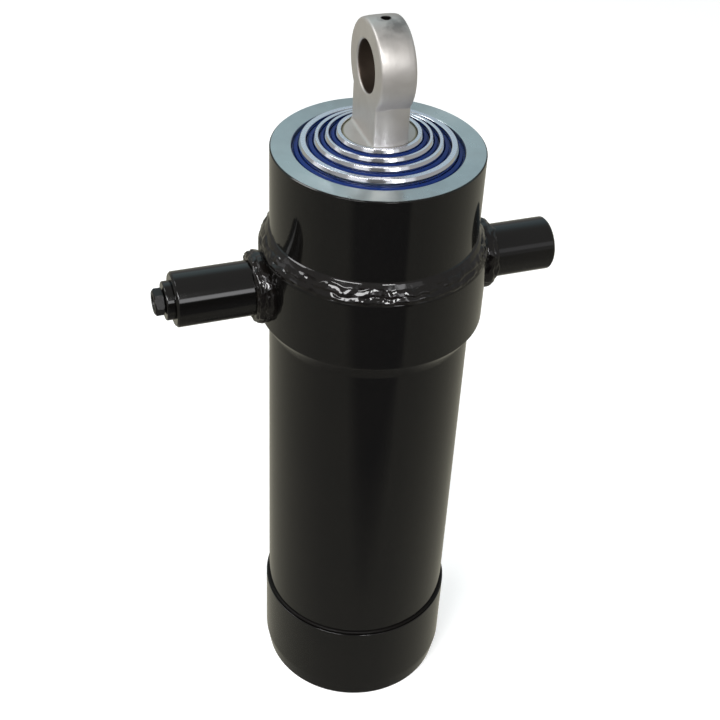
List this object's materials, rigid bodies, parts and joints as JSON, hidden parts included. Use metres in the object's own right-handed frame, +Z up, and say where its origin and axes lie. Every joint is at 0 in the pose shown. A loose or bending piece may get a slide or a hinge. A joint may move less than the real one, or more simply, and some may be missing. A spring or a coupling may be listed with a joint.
{
  "type": "telescopic hydraulic cylinder",
  "caption": "Telescopic hydraulic cylinder with a trunnion ring and pins on a black barrel, nested chromed stages with blue wipers, and a lifting eye on the plunger.",
  "frame": {"origin": "centre of the base's bottom face", "axes": "+Z up the cylinder's axis towards the eye, +X along the trunnion axis towards the plain pin, -X towards the port pin"},
  "size_m": [0.3016, 0.166, 0.5883],
  "materials": {
    "gloss_black_paint": "gloss",
    "painted_weld": "gloss over a rough weld bead",
    "hard_chrome": "polished",
    "satin_cast_steel": "satin, smoothed casting",
    "plain_steel": "turned",
    "guide_bronze": "turned",
    "guide_resin": "matte",
    "blue_polyurethane": "satin",
    "seal_rubber": "matte",
    "plug_plastic": "satin"
  },
  "bodies": {
    "barrel": {"barrel_tube": "gloss_black_paint", "base_cup": "gloss_black_paint", "base_weld": "painted_weld", "head_guide_band": "guide_resin", "head_housing": "gloss_black_paint", "head_rod_seal": "seal_rubber", "head_wiper": "blue_polyurethane", "pin_weld_plain": "painted_weld", "pin_weld_port": "painted_weld", "port_adapter": "gloss_black_paint", "port_plug": "plug_plastic", "trunnion_pin_plain": "gloss_black_paint", "trunnion_pin_port": "gloss_black_paint", "trunnion_ring": "gloss_black_paint", "trunnion_top_weld": "painted_weld"},
    "stage_1": {"stage_1_foot_guide": "guide_bronze", "stage_1_guide_band": "guide_resin", "stage_1_rod_seal": "seal_rubber", "stage_1_stop_ring": "plain_steel", "stage_1_tube": "hard_chrome", "stage_1_wiper": "blue_polyurethane"},
    "stage_2": {"stage_2_foot_guide": "guide_bronze", "stage_2_guide_band": "guide_resin", "stage_2_rod_seal": "seal_rubber", "stage_2_stop_ring": "plain_steel", "stage_2_tube": "hard_chrome", "stage_2_wiper": "blue_polyurethane"},
    "stage_3": {"stage_3_foot_guide": "guide_bronze", "stage_3_guide_band": "guide_resin", "stage_3_rod_seal": "seal_rubber", "stage_3_stop_ring": "plain_steel", "stage_3_tube": "hard_chrome", "stage_3_wiper": "blue_polyurethane"},
    "plunger_guide": {"plunger_foot_guide": "guide_bronze"},
    "plunger": {"plunger_foot_plug": "plain_steel", "plunger_stop_ring": "plain_steel", "plunger_tube": "hard_chrome", "rod_eye": "satin_cast_steel"}
  },
  "joints": [
    {"name": "stage_1_slide", "type": "slide", "parent": "barrel", "child": "stage_1", "axis": [0, 0, 1], "range_m": [0, 0.345]},
    {"name": "stage_2_slide", "type": "slide", "parent": "stage_1", "child": "stage_2", "axis": [0, 0, 1], "range_m": [0, 0.345]},
    {"name": "stage_3_slide", "type": "slide", "parent": "stage_2", "child": "stage_3", "axis": [0, 0, 1], "range_m": [0, 0.345]},
    {"name": "plunger_slide", "type": "slide", "parent": "stage_3", "child": "plunger_guide", "axis": [0, 0, 1], "range_m": [0, 0.345]},
    {"name": "plunger_swivel", "type": "hinge", "parent": "plunger_guide", "child": "plunger", "pos_m": [0, 0, 0.5], "axis": [0, 0, 1], "continuous": true}
  ]
}
